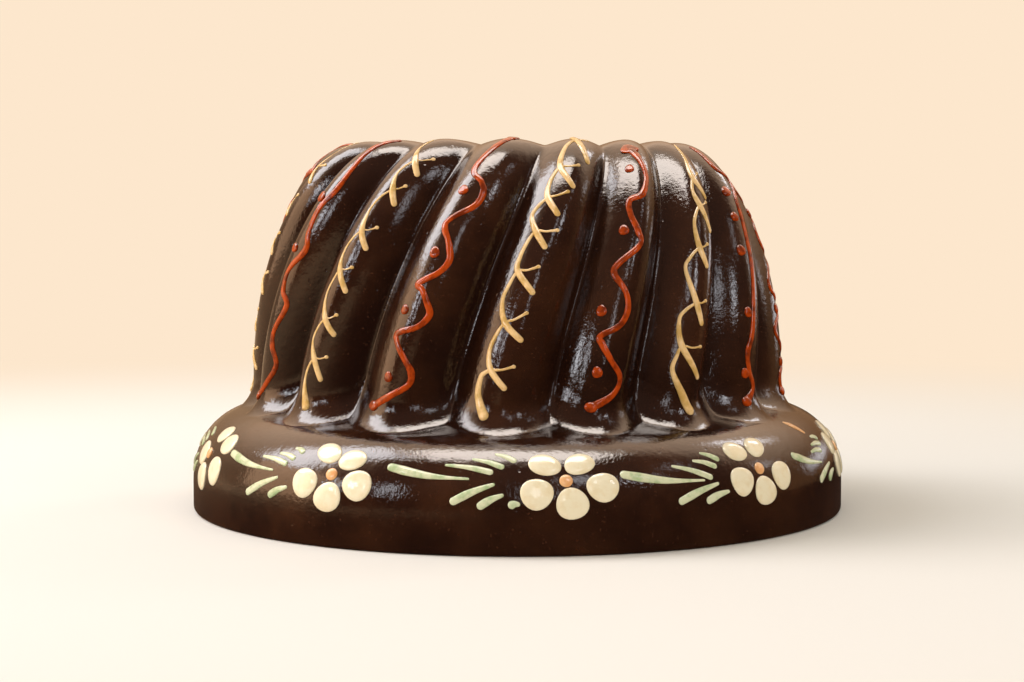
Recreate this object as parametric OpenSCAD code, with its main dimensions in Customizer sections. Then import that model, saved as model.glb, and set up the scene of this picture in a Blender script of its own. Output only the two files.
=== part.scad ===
// Ring cake mould in glazed earthenware, standing mouth down on its rim.
// The origin is on the axis in the plane of the rim, +Z is up and -Y is the front.

/* [Whole mould] */
// Diameter over the rim
rim_d = 230; // [216:2:250]
// Height from the rim to the top of the crown
mould_h = 128; // [116:1:140]
// Thickness of the pressed wall
wall = 6; // [5:0.5:8]

/* [Flange] */
// Height of the smooth flange that the flutes stand on
flange_h = 36; // [32:1:40]
// How far the flange stands out past the flutes
flange_w = 21; // [18:1:26]
// Width of the flange's rounded band, part of it hidden under the flutes
flange_band = 26; // [22:1:28]
// Upright edge below the rounded band
flange_edge = 9; // [6:1:12]
// Fullness of the band's curve, where 2 is an ellipse
flange_fullness = 2.3; // [2:0.1:2.8]
// Rounding of the rim's two edges
rim_round = 1.5; // [1:0.5:2]

/* [Flutes] */
// Number of flutes round the mould
flutes = 17; // [13:1:19]
// Depth of the valleys at the foot
foot_depth = 11.6; // [6:0.2:13]
// Depth of the valleys at the top of the crown
crown_depth = 2.8; // [1:0.2:4]
// Turn of the flutes from the foot to the top, in degrees
twist = 23; // [0:1:34]
// How far the hand-cut flutes wander from even spacing, in degrees
drift = 2.5; // [0:0.25:3]
// How far the flutes flare out at their toe, on a crest
toe_w = 5.5; // [4:0.5:7]
// Height of that flare
toe_h = 8; // [6:0.5:10]

/* [Crown] */
// Place of the crown's top, as a share of the way from the tube out to the flutes' foot
crest_place = 0.46; // [0.4:0.01:0.5]
// Depth of the rounded funnel inside that circle
funnel_h = 30; // [24:1:40]

/* [Centre tube] */
// Bore where the funnel ends
throat_d = 48; // [44:1:54]
// Bore at the tip, down inside the mould
tip_d = 34; // [28:1:40]
// Thickness of the tube's wall
tube_wall = 6; // [5:0.5:7]
// Height of the tip above the rim
tip_rise = 14; // [8:1:24]

/* [Hidden] */
glaze = "#2a1712";

// Grid columns of the fluted crown
flute_steps = 8;
columns = flutes * flute_steps;
pitch = 360 / flutes;

// One valley is just right of the front
first_valley = 7.4;

// Shape of a lobe across, of the valleys' depth going up, and how softly that depth ends at the top
lobe_power = 1.8;
depth_power = 0.4;
crown_blend = 0.09;

// The drift is a slow wave once round the mould and another three times round
drift_once = 1.15;
drift_phase = 150;
drift_thrice = 0.85;

// Radii and heights
rim_r = rim_d / 2;
foot_r = rim_r - flange_w;
throat_r = throat_d / 2;
crest_r = throat_r + crest_place * (foot_r - throat_r);
tip_r = tip_d / 2;
throat_z = mould_h - funnel_h;
flange_r = rim_r - flange_band;

// The ledge under the flutes is the band's tangent at this radius, carried inward
ledge_r = foot_r + 4.5;
ledge_top = band_z(ledge_r, 0);
ledge_slope = (band_z(ledge_r + 0.01, 0) - ledge_top) / 0.01;

// In a valley the flare is wider and climbs to a saddle
saddle_w = 2.5;
saddle_h = 4;
flare_out = 1.8;
flare_down = 1.35;

// Seams: the crown's shell is sunk this far through the flange and the tube
seam_lap = 6.5;
seam_sink = 0.9;
seam_cover = 0.35;
seam_r = foot_r + toe_w + 1;

// The flutes curve in from upright above this height, part of the way up the flare
wall_z = ledge_z(foot_r) + 0.7 * toe_h;
inner_low = 1;
inner_saddle = 1.8;

// Height of the flange's rounded band at radius r, inset by t from its outer face
function band_z(r, t) =
    let (a = flange_band - t, b = flange_h - flange_edge - t, x = max(r - flange_r, 0) / a)
    flange_edge + b * pow(max(1 - pow(x, flange_fullness), 0), 1 / flange_fullness);

function ledge_z(r) = ledge_top + ledge_slope * (r - ledge_r);

// Bore radius of the tube at height z
function bore_r(z) = tip_r + (throat_r - tip_r) * (z - tip_rise) / (throat_z - tip_rise);

// Angle of grid column i from the front, and how far it lies towards a valley, 0 to 1
function column_angle(i) =
    let (a = i * pitch / flute_steps + first_valley)
    a + drift * (drift_once * cos(a + drift_phase) + drift_thrice * cos(3 * a));
function hollow(i) = pow(abs(2 * (i % flute_steps) / flute_steps - 1), lobe_power);
function soft_hollow(i) = (1 + cos(360 * (i % flute_steps) / flute_steps)) / 2;

// The crown's section is two quarter ellipses that meet at the top, inset by t for the inner face
function outside_a(t) = foot_r - crest_r - t;
function outside_b(t) = mould_h - wall_z - t;
function funnel_a(t) = crest_r - throat_r - t * tube_wall / wall;
function funnel_b(t) = funnel_h - t;
function outside_at(f, t) = [crest_r + outside_a(t) * cos(f), wall_z + outside_b(t) * sin(f)];
function funnel_at(f, t) = [crest_r - funnel_a(t) * cos(f), throat_z + funnel_b(t) * sin(f)];
function outside_normal(f, t) = let (n = [cos(f) / outside_a(t), sin(f) / outside_b(t)]) n / norm(n);
function funnel_normal(f, t) = let (n = [-cos(f) / funnel_a(t), sin(f) / funnel_b(t)]) n / norm(n);

// Length along the outside from the foot to angle f, and along the funnel from the top down to f
arc_step = 3;
function outside_run(f) =
    f <= 0 ? 0 : norm(outside_at(f, 0) - outside_at(max(f - arc_step, 0), 0)) + outside_run(f - arc_step);
function funnel_run(f) =
    f >= 90 ? 0 : norm(funnel_at(f, 0) - funnel_at(min(f + arc_step, 90), 0)) + funnel_run(f + arc_step);

// The flutes start upright and lean over more and more towards the top
lean = 1.3;
crown_run = outside_run(90);
function turn_at(run) =
    run < crown_run ? twist * pow(run / crown_run, lean) : twist * (1 + lean * (run / crown_run - 1));

// Each grid row is [radius, height, turn] as a function of h, 0 on a crest and 1 in a valley
function softened(x) = pow(pow(x, 2) + pow(crown_blend, 2), depth_power / 2) - pow(crown_blend, depth_power);
function depth_at(f) = crown_depth + (foot_depth - crown_depth) * softened(cos(f)) / softened(1);
function outside_row(f, t, h) =
    let (p = outside_at(f, t) - depth_at(f) * h * outside_normal(f, t))
    [p[0], p[1], turn_at(outside_run(f))];
function funnel_row(f, t, h) =
    let (p = funnel_at(f, t) - crown_depth * pow(sin(f), 2) * h * funnel_normal(f, t))
    [p[0], p[1], turn_at(crown_run + funnel_run(f))];

// Flare outside: from the upright flute to its toe on the ledge, as w goes from 0 to 1
function foot_at(h) = foot_r - foot_depth * h;
function flare_angle(h) = asin((ledge_z(foot_at(h)) + toe_h + saddle_h * h - wall_z) / outside_b(0));
function flare_row(w, h) =
    let (r = foot_at(h) + (toe_w + saddle_w * h) * pow(w, flare_out))
    [r, ledge_z(r) + (toe_h + saddle_h * h) * pow(1 - w, flare_down),
     turn_at(outside_run(flare_angle(h))) * pow(1 - w, 3)];

// Run-out inside: a quadratic curve from the upright flute to the flange's inner face
function run_out_row(w, h) =
    let (r0 = foot_at(h) - wall,
         z1 = band_z(seam_r, wall) + inner_low + inner_saddle * h,
         z2 = band_z(seam_r, wall) - seam_cover)
    [r0 + pow(w, 2) * (seam_r - r0),
     pow(1 - w, 2) * wall_z + 2 * w * (1 - w) * z1 + pow(w, 2) * z2,
     0];

// Ends of the shell, sunk into the flange and into the tube
function flange_end(t) =
    let (r = seam_r + seam_lap) [r, band_z(r, t) + (t > 0 ? seam_sink : -seam_sink), 0];
function tube_end(t) =
    let (z = throat_z - seam_lap, way = t > 0 ? -seam_sink : seam_sink)
    [bore_r(z) + (t > 0 ? tube_wall : 0) + way, z, turn_at(crown_run + funnel_run(0))];

// Section angles where the crown gets its grid rows, closer together where it curves more
outside_steps = [90, 78, 66, 54, 42, 33, 24, 15];
inside_steps = [0, 12, 27, 42, 60, 75, 90];

// One column of the grid goes once round the section: funnel, crown, run-out, then back inside
function section(i) =
    let (h = hollow(i), s = soft_hollow(i))
    concat(
        [tube_end(0)],
        [for (f = [0:18:72]) funnel_row(f, 0, h)],
        [for (f = outside_steps) outside_row(f, 0, h)],
        [outside_row(flare_angle(h), 0, h)],
        [for (w = [0.35, 0.65, 0.88, 1]) flare_row(w, h)],
        [[seam_r, band_z(seam_r, 0) + seam_cover, 0]],
        [flange_end(0), flange_end(wall)],
        [for (w = [1, 0.6, 0.3]) run_out_row(w, s)],
        [for (f = inside_steps) outside_row(f, wall, s)],
        [for (f = [60, 30, 0]) funnel_row(f, wall, s)],
        [tube_end(wall)]
    );

module fluted_crown() {
    rows = len(section(0));
    points = [for (i = [0:columns - 1]) let (a = column_angle(i))
        for (p = section(i)) [p[0] * sin(a + p[2]), -p[0] * cos(a + p[2]), p[1]]];
    function at(i, j) = (i % columns) * rows + j % rows;
    faces = [for (i = [0:columns - 1], j = [0:rows - 1]) each [
        [at(i, j), at(i + 1, j), at(i + 1, j + 1)],
        [at(i, j), at(i + 1, j + 1), at(i, j + 1)]]];
    color(glaze) polyhedron(points, faces, convexity = 8);
}

// Flange: a full rounded band with an upright edge and a flat rim to stand on
module flange() {
    band_steps = 10;
    function band(t) = [for (k = [0:band_steps])
        let (r = seam_r + (rim_r - t - seam_r) * sin(90 * k / band_steps)) [r, band_z(r, t)]];
    function corner(x, y, from) = [for (k = [0:4])
        [x + rim_round * cos(from - 22.5 * k), y + rim_round * sin(from - 22.5 * k)]];
    color(glaze) rotate_extrude($fn = 180) polygon(concat(
        band(0),
        corner(rim_r - rim_round, rim_round, 0),
        corner(rim_r - wall + rim_round, rim_round, -90),
        [for (k = [band_steps:-1:0]) band(wall)[k]]));
}

// Centre tube: a tapered chimney with a rounded tip
module centre_tube() {
    tip_round = tube_wall / 2;
    top_z = throat_z - seam_cover;
    function lip() = [for (a = [0:-30:-180])
        [tip_r + tip_round + tip_round * cos(a), tip_rise + tip_round + tip_round * sin(a)]];
    color(glaze) rotate_extrude($fn = 120) polygon(concat(
        [[bore_r(top_z) + tube_wall, top_z]], lip(), [[bore_r(top_z), top_z]]));
}

module mould() {
    fluted_crown();
    flange();
    centre_tube();
}

mould();
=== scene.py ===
"""Fluted earthenware ring cake mould with trailed slip decoration, standing mouth down.

Lengths are millimetres until a mesh is written, which turns them into metres.
Angles round the mould are degrees from the front (-Y), growing towards +X.
"""

import logging
import math
from collections.abc import Callable, Sequence
from dataclasses import dataclass, field
from enum import Enum
from functools import lru_cache

import bpy
import numpy as np
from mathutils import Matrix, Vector


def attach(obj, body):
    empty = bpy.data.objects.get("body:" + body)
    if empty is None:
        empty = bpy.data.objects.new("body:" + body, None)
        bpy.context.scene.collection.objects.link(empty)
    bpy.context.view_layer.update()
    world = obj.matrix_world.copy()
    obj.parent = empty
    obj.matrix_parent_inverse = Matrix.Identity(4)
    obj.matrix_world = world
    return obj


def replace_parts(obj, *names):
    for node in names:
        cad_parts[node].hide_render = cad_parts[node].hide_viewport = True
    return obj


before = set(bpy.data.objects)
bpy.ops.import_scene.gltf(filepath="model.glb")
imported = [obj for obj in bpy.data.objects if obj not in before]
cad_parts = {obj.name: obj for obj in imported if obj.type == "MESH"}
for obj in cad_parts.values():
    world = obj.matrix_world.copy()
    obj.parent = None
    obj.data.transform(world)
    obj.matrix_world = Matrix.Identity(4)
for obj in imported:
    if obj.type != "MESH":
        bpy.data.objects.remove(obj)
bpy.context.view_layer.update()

LOG = logging.getLogger("mould")
MM = 0.001
QUARTER = math.pi / 2
Array = np.ndarray
Places = Sequence[Sequence[float]]
Widths = tuple[float, ...]
Surface = Callable[[Array, Array], tuple[Array, Array]]
Tree = bpy.types.NodeTree
Socket = bpy.types.NodeSocket
Colour = str | Socket
Span = tuple[float, float]
Layers = tuple[tuple[float, float, float], ...]
SMOOTH = {"interpolation_type": "SMOOTHSTEP"}


# Shape of the mould


def run_along(points: Array) -> Array:
    """Distance along a path from its first point to each of its points, one a row."""
    return np.concatenate([[0.0], np.cumsum(np.linalg.norm(np.diff(points, axis=0), axis=1))])


def cosine(degrees: Array) -> Array:
    """Cosine of an angle in degrees."""
    return np.cos(np.radians(degrees))


def around(angle: Array, r: Array, z: Array) -> Array:
    """Points at an angle from the front, a radius and a height, as an array with x, y, z last."""
    x, y = r * np.sin(np.radians(angle)), -r * cosine(angle)
    return np.stack(np.broadcast_arrays(x, y, z), axis=-1)


@dataclass(frozen=True)
class MouldShape:
    """Sizes of the mould and the surfaces that follow from them, in millimetres and degrees.

    A lobe coordinate counts the lobes round the mould, whole numbers being valleys. A hollow is a share
    of the valleys' full depth, 0 on a lobe's middle and about 1 in a valley. A run is a length along the
    crown's section, from the flutes' foot up and over into the funnel.
    """

    rim_r: float = 115.0
    height: float = 128.0
    wall: float = 6.0
    flange_h: float = 36.0
    flange_w: float = 21.0
    flange_band: float = 26.0
    flange_edge: float = 9.0
    flange_fullness: float = 2.3
    rim_round: float = 1.5
    flutes: int = 17
    foot_depth: float = 11.6
    crown_depth: float = 2.8
    depth_power: float = 0.4
    crown_blend: float = 0.09
    fade_h: float = 36.0
    lobe_power: float = 1.8
    valley_round: float = 0.085
    twist: float = 23.0
    lean: float = 1.3
    drift: float = 2.5
    drift_once: float = 1.15
    drift_phase: float = 150.0
    drift_thrice: float = 0.85
    first_valley: float = 7.4
    toe_w: float = 5.5
    toe_h: float = 8.0
    saddle_w: float = 2.5
    saddle_h: float = 4.0
    flare_out: float = 1.8
    flare_down: float = 1.35
    flare_share: float = 0.8
    seam_gap: float = 1.0
    upright_from: float = 0.7
    inner_low: float = 1.0
    inner_saddle: float = 1.8
    marks_low: float = 2.4
    marks_high: float = 1.0
    marks_r: float = 98.5
    marks_step: float = 0.01
    marks_past: float = 1.2
    crest_place: float = 0.46
    funnel_h: float = 30.0
    throat_r: float = 24.0
    tip_r: float = 17.0
    tube_wall: float = 6.0
    tip_rise: float = 14.0
    crown_steps: int = 721
    funnel_steps: int = 361
    flange_steps: int = 400

    @property
    def foot_r(self) -> float:
        """Radius over the flutes at their foot."""
        return self.rim_r - self.flange_w

    @property
    def seam_r(self) -> float:
        """Radius where the ledge under the flutes meets the plain flange."""
        return self.foot_r + self.toe_w + self.seam_gap

    @property
    def crest_r(self) -> float:
        """Radius of the circle along the top of the crown."""
        return self.throat_r + self.crest_place * (self.foot_r - self.throat_r)

    @property
    def throat_z(self) -> float:
        """Height where the funnel turns into the tube."""
        return self.height - self.funnel_h

    @property
    def wall_z(self) -> float:
        """Height where the flutes start to curve in from upright."""
        return float(self.ledge_z(self.foot_r)) + self.upright_from * self.toe_h

    @property
    def crown_run(self) -> float:
        """Run from the flutes' foot to the crown's top."""
        return float(self.runs()[1][-1])

    def band_z(self, r: Array | float, inset: float) -> Array:
        """Height of the flange's rounded band: a superellipse from the ledge down to the upright edge.

        Args:
            r: radius.
            inset: distance in from the outer face, 0 or the wall.

        Returns:
            The height at each radius.
        """
        a, b = self.flange_band - inset, self.flange_h - self.flange_edge - inset
        x = np.maximum(r - (self.rim_r - self.flange_band), 0.0) / a
        height = np.maximum(1 - x**self.flange_fullness, 0.0) ** (1 / self.flange_fullness)
        return self.flange_edge + b * height

    def ledge_z(self, r: Array | float) -> Array:
        """Height of the ledge under the flutes: the band's tangent at marks_r, carried inward."""
        top, after = self.band_z(self.marks_r + np.array([0.0, self.marks_step]), 0.0)
        return top + (after - top) / self.marks_step * (r - self.marks_r)

    def column_angle(self, col: Array) -> Array:
        """Angle round the mould: an even pitch plus a drift that waves once and three times round.

        Args:
            col: lobe coordinate.

        Returns:
            Degrees from the front.
        """
        a = col * 360 / self.flutes + self.first_valley
        once, thrice = self.drift_once * cosine(a + self.drift_phase), self.drift_thrice * cosine(3 * a)
        return a + self.drift * (once + thrice)

    def hollow(self, col: Array) -> Array:
        """Hollow at a lobe coordinate: a power of the distance from the middle, rounded at the valley."""
        side = np.sqrt((1 - np.abs(2 * (col - np.floor(col)) - 1)) ** 2 + self.valley_round**2)
        return np.maximum(1 - side, 0.0) ** self.lobe_power

    def soft_hollow(self, col: Array) -> Array:
        """The same for the inner face, as a plain cosine."""
        return (1 + np.cos(2 * math.pi * col)) / 2

    def arc(
        self, f: Array, depth: Array | float = 0.0, inset: float = 0.0, funnel: bool = False
    ) -> tuple[Array, Array]:
        """Section of the crown: a quarter ellipse on each side of its top, moved in along its normals.

        Args:
            f: section angle in radians, a quarter turn at the top and 0 at the foot or the throat.
            depth: distance that a point moves in.
            inset: 0 for the outer face, the wall for the inner one.
            funnel: whether the side towards the funnel is meant.

        Returns:
            Radius and height.
        """
        a, low = self.foot_r - self.crest_r - inset, self.wall_z
        if funnel:
            a, low = self.throat_r - self.crest_r + inset * self.tube_wall / self.wall, self.throat_z
        b = self.height - low - inset
        out = np.stack([np.cos(f) / a, np.sin(f) / b])
        out = out / np.hypot(*out)
        return self.crest_r + a * np.cos(f) - depth * out[0], low + b * np.sin(f) - depth * out[1]

    @lru_cache(maxsize=None)
    def runs(self, funnel: bool = False) -> tuple[Array, Array]:
        """Section angles up the crown, or down the funnel, and the length from the first to each.

        Args:
            funnel: whether the funnel is meant.

        Returns:
            The angles and the lengths.
        """
        span = (QUARTER, 0, self.funnel_steps) if funnel else (0, QUARTER, self.crown_steps)
        f = np.linspace(*span)
        return f, run_along(np.stack(self.arc(f, funnel=funnel), axis=-1))

    def crown_angle(self, run: Array) -> Array:
        """Section angle at a run up to the crown's top."""
        return np.interp(run, *self.runs()[::-1])

    def funnel_run(self, f: Array) -> Array:
        """Run over the crown's top and down the funnel to section angle f."""
        angles, lengths = self.runs(funnel=True)
        return self.crown_run + np.interp(-f, -angles, lengths)

    def turn(self, run: Array) -> Array:
        """Turn of the flutes at a run: a power of the run up to the top, and a straight line past it."""
        share = np.maximum(run / self.crown_run, 0.0)
        return self.twist * np.where(share < 1, share**self.lean, 1 + self.lean * (share - 1))

    def depth(self, run: Array) -> Array:
        """Depth of the valleys: it falls as a small power of the section angle's cosine, rounded off at
        the top, and dies away evenly down the funnel.

        Args:
            run: run at each place.

        Returns:
            The full depth there, of which a hollow is a share.
        """
        blend, power = self.crown_blend**2, self.depth_power / 2
        fall = (np.cos(self.crown_angle(run)) ** 2 + blend) ** power - blend**power
        fall = fall / ((1 + blend) ** power - blend**power)
        past = np.clip((run - self.crown_run) / self.fade_h, 0.0, 1.0)
        return (self.crown_depth + (self.foot_depth - self.crown_depth) * fall) * (1 - past) ** 2

    def bore_r(self, z: Array) -> Array:
        """Bore radius of the centre tube at a height, along a straight taper."""
        return np.interp(z, (self.tip_rise, self.throat_z), (self.tip_r, self.throat_r))

    def flare(self, hollow: Array) -> tuple[Array, Array]:
        """Width and height of the flare at the flutes' foot, which rises to a saddle in each valley."""
        return self.toe_w + self.saddle_w * hollow, self.toe_h + self.saddle_h * hollow

    def flare_length(self, hollow: Array) -> Array:
        """Length of the flare, as a share of its width and height together."""
        return self.flare_share * sum(self.flare(hollow))

    def foot_start(self, hollow: Array) -> Array:
        """Run at which a flute leaves its flare: the ledge's height under it plus the flare's height."""
        return self.ledge_z(self.foot_r - self.foot_depth * hollow) + self.flare(hollow)[1] - self.wall_z

    def toe_r(self, hollow: Array) -> Array:
        """Radius at which the flare meets the ledge."""
        return self.foot_r - self.foot_depth * hollow + self.flare(hollow)[0]

    def below_foot(self, hollow: Array, down: Array) -> tuple[Array, Array]:
        """Section below the flute: it flares out as one power while its height above the ledge falls as
        another, which leaves a tight crease at the toe, and then the straight ledge follows.

        Args:
            hollow: share of the full depth.
            down: distance below the flute's start, 0 or more.

        Returns:
            Radius and height.
        """
        wide, high = self.flare(hollow)
        length = self.flare_length(hollow)
        w = np.clip(down / length, 0.0, 1.0)
        r = self.toe_r(hollow) - wide * (1 - w**self.flare_out) + np.maximum(down - length, 0.0)
        return r, self.ledge_z(r) + high * (1 - w) ** self.flare_down

    def run_out(self, hollow: Array, w: Array) -> tuple[Array, Array]:
        """Inner face from the upright flute, w = 0, to the flange, w = 1: a quadratic curve.

        Args:
            hollow: share of the full depth.
            w: place on the curve.

        Returns:
            Radius and height.
        """
        start = self.foot_r - self.wall - self.foot_depth * hollow
        low = self.band_z(self.seam_r, self.wall)
        middle = low + self.inner_low + self.inner_saddle * hollow
        z = (1 - w) ** 2 * self.wall_z + 2 * w * (1 - w) * middle + w**2 * low
        return start + w**2 * (self.seam_r - start), z

    def lobe_point(self, col: Array, share: Array) -> Array:
        """Point on a lobe: on the flare and ledge under it, on the crown, or past the top in the funnel.

        Args:
            col: lobe coordinate.
            share: share of the way that the trailing takes up the lobe.

        Returns:
            The points.
        """
        hollow = self.hollow(col)
        run = share * (self.crown_run - self.marks_high + self.marks_low) - self.marks_low
        past = (run - self.crown_run) / (self.crest_r - self.throat_r)
        start, depth = self.foot_start(hollow), self.depth(run) * hollow
        crown = self.arc(self.crown_angle(run), depth)
        funnel = self.arc(QUARTER - np.clip(past, 0.0, self.marks_past), depth, funnel=True)
        below = self.below_foot(hollow, np.maximum(start - run, 0.0))
        r, z = (np.select([run < start, past > 0], [b, o], u) for b, o, u in zip(below, funnel, crown))
        return around(self.column_angle(col) + self.turn(run), r, z)

    @lru_cache(maxsize=None)
    def flange_path(self, start_r: float) -> Array:
        """Run, radius and height down the outside of the flange.

        Args:
            start_r: radius where the path starts; it ends above the rim's rounding.

        Returns:
            The three as rows.
        """
        r = start_r + (self.rim_r - start_r) * np.sin(np.linspace(0, QUARTER, self.flange_steps))
        path = np.stack([np.append(r, self.rim_r), np.append(self.band_z(r, 0.0), self.rim_round)])
        return np.vstack([run_along(path.T), path])

    def flange_point(self, angle: Array, down: Array) -> Array:
        """Point on the flange.

        Args:
            angle: degrees from the front.
            down: length along the flange down from marks_r; a negative one climbs the ledge.

        Returns:
            The points.
        """
        path, rs, zs = self.flange_path(self.marks_r)
        r = np.interp(down, path, rs) + np.minimum(down, 0.0)
        return around(angle, r, np.where(down < 0, self.ledge_z(r), np.interp(down, path, zs)))


# Meshes


@dataclass
class Patch:
    """Vertices in millimetres with quads and triangles, ready to be joined into a mesh."""

    points: Array
    quads: Array
    tris: Array = field(default_factory=lambda: np.zeros((0, 3), int))

    @staticmethod
    def join(patches: list["Patch"]) -> "Patch":
        """All the patches as one, their face numbers moved on.

        Args:
            patches: the patches in order.

        Returns:
            The one patch.
        """
        starts = np.cumsum([0] + [len(p.points) for p in patches[:-1]])
        return Patch(
            np.concatenate([p.points for p in patches]),
            np.concatenate([p.quads + s for p, s in zip(patches, starts)]),
            np.concatenate([p.tris + s for p, s in zip(patches, starts)]),
        )

    def outward(self) -> "Patch":
        """The patch with its faces turned outwards, told by the sign of the volume that they enclose.

        Returns:
            This patch or a turned copy.
        """
        tris = np.concatenate([self.tris, self.quads[:, [0, 1, 2]], self.quads[:, [0, 2, 3]]])
        a, b, c = (self.points[tris[:, k]] - self.points[0] for k in range(3))
        if np.sum(a * np.cross(b, c)) > 0:
            return self
        return Patch(self.points, self.quads[:, ::-1], self.tris[:, ::-1])


def quads_between(rows: Array, next_rows: Array) -> Array:
    """Quads from rows of vertex numbers to the rows after them, each row closed on itself."""
    corners = [rows, np.roll(rows, -1, axis=1), np.roll(next_rows, -1, axis=1), next_rows]
    return np.stack(corners, axis=-1).reshape(-1, 4)


def closed_grid(grid: Array) -> Patch:
    """Patch over a grid of points that closes on itself along rows and columns, faces outwards."""
    number = np.arange(grid[..., 0].size).reshape(grid.shape[:2])
    return Patch(grid.reshape(-1, 3), quads_between(number, np.roll(number, -1, axis=0))).outward()


def rings_with_poles(rings: Array, first: Array, last: Array) -> Patch:
    """Closed skin over a row of rings with a pole at each end.

    Args:
        rings: points by ring and place in the ring.
        first: point that closes the first ring.
        last: point that closes the last ring.

    Returns:
        The patch, faces outwards.
    """
    n, k = rings.shape[:2]
    number = np.arange(n * k).reshape(n, k)
    caps = [
        np.stack([np.full(k, n * k), np.roll(number[0], -1), number[0]], axis=-1),
        np.stack([np.full(k, n * k + 1), number[-1], np.roll(number[-1], -1)], axis=-1),
    ]
    points = np.concatenate([rings.reshape(-1, 3), first[None], last[None]])
    return Patch(points, quads_between(number[:-1], number[1:]), np.concatenate(caps)).outward()


def make_piece(name: str, patch: Patch, material: bpy.types.Material) -> bpy.types.Object:
    """Writes a patch into a smooth mesh object in metres at the origin.

    Args:
        name: name of the piece.
        patch: points and faces in millimetres.
        material: its one material.

    Returns:
        The new object.
    """
    mesh = bpy.data.meshes.new(name)
    faces = patch.quads.tolist() + patch.tris.tolist()
    mesh.from_pydata((patch.points * MM).tolist(), [], faces)
    mesh.polygons.foreach_set("use_smooth", np.ones(len(faces), bool))
    mesh.update()
    mesh.materials.append(material)
    piece = bpy.data.objects.new(name, mesh)
    bpy.context.scene.collection.objects.link(piece)
    return piece


def normals_of(across: Array, along: Array) -> Array:
    """Unit cross product of two directions."""
    n = np.cross(across, along)
    return n / np.linalg.norm(n, axis=-1, keepdims=True)


# Materials


def to_linear(colour: str) -> tuple[float, float, float, float]:
    """Turns a colour into the shaders' own values.

    Args:
        colour: sRGB hex colour such as #2a150f.

    Returns:
        Linear red, green and blue, and full alpha.
    """
    parts = (int(colour[i : i + 2], 16) / 255 for i in (1, 3, 5))
    r, g, b = (c / 12.92 if c <= 0.04045 else ((c + 0.055) / 1.055) ** 2.4 for c in parts)
    return r, g, b, 1.0


def add_node(tree: Tree, kind: str, inputs: dict | None = None, **settings: object) -> bpy.types.Node:
    """Adds a node, sets its properties, and sets or links its inputs.

    Args:
        tree: node tree to add to.
        kind: Blender's node type without the word ShaderNode.
        inputs: socket name or number to a value, a hex colour, or an output socket to link from.
        settings: node properties by name.

    Returns:
        The new node.
    """
    node = tree.nodes.new("ShaderNode" + kind)
    for key, value in settings.items():
        setattr(node, key, value)
    for key, value in (inputs or {}).items():
        if isinstance(value, Socket):
            tree.links.new(value, node.inputs[key])
        else:
            node.inputs[key].default_value = to_linear(value) if isinstance(value, str) else value
    return node


def new_material(name: str) -> tuple[bpy.types.Material, Tree, Socket]:
    """Makes an empty node material.

    Args:
        name: name of the material.

    Returns:
        The material, its tree, and the Object coordinates in metres that its patterns read.
    """
    material = bpy.data.materials.new(name)
    material.use_nodes = True
    material.node_tree.nodes.clear()
    return material, material.node_tree, add_node(material.node_tree, "TexCoord").outputs["Object"]


def grains(place: Socket, size_mm: float, detail: float) -> dict:
    """Inputs of a noise whose features are about size_mm across; place is in metres."""
    return {"Vector": place, "Scale": 1 / (size_mm * MM), "Detail": detail, "Roughness": 0.6}


def ramp(value: Socket, span: Span) -> dict:
    """Inputs of a range that goes from 0 to 1 as a value crosses a span."""
    return {"Value": value, "From Min": span[0], "From Max": span[1]}


def blended(tree: Tree, value: Socket, span: Span, before: Colour, after: Colour) -> Socket:
    """Colour that turns softly from one to another as a value rises.

    Args:
        tree: node tree.
        value: the value.
        span: values at which the colour starts to turn and has turned.
        before: first colour.
        after: second colour.

    Returns:
        The colour.
    """
    step = add_node(tree, "MapRange", ramp(value, span), **SMOOTH)
    inputs = {"Factor": step.outputs["Result"], "A": before, "B": after}
    return add_node(tree, "Mix", inputs, data_type="RGBA").outputs["Result"]


def dimples(tree: Tree, place: Socket, layers: Layers) -> dict:
    """Relief of noise layers, each on top of the one before.

    Args:
        tree: node tree.
        place: Object coordinates.
        layers: feature size in millimetres, detail of the noise and depth in millimetres of each.

    Returns:
        The last normal as a shader's or a next layer's input.
    """
    normal = {}
    for size_mm, detail, depth_mm in layers:
        height = add_node(tree, "TexNoise", grains(place, size_mm, detail)).outputs["Fac"]
        inputs = {"Strength": 1.0, "Distance": depth_mm * MM, "Height": height, **normal}
        normal = {"Normal": add_node(tree, "Bump", inputs).outputs[0]}
    return normal


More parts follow.
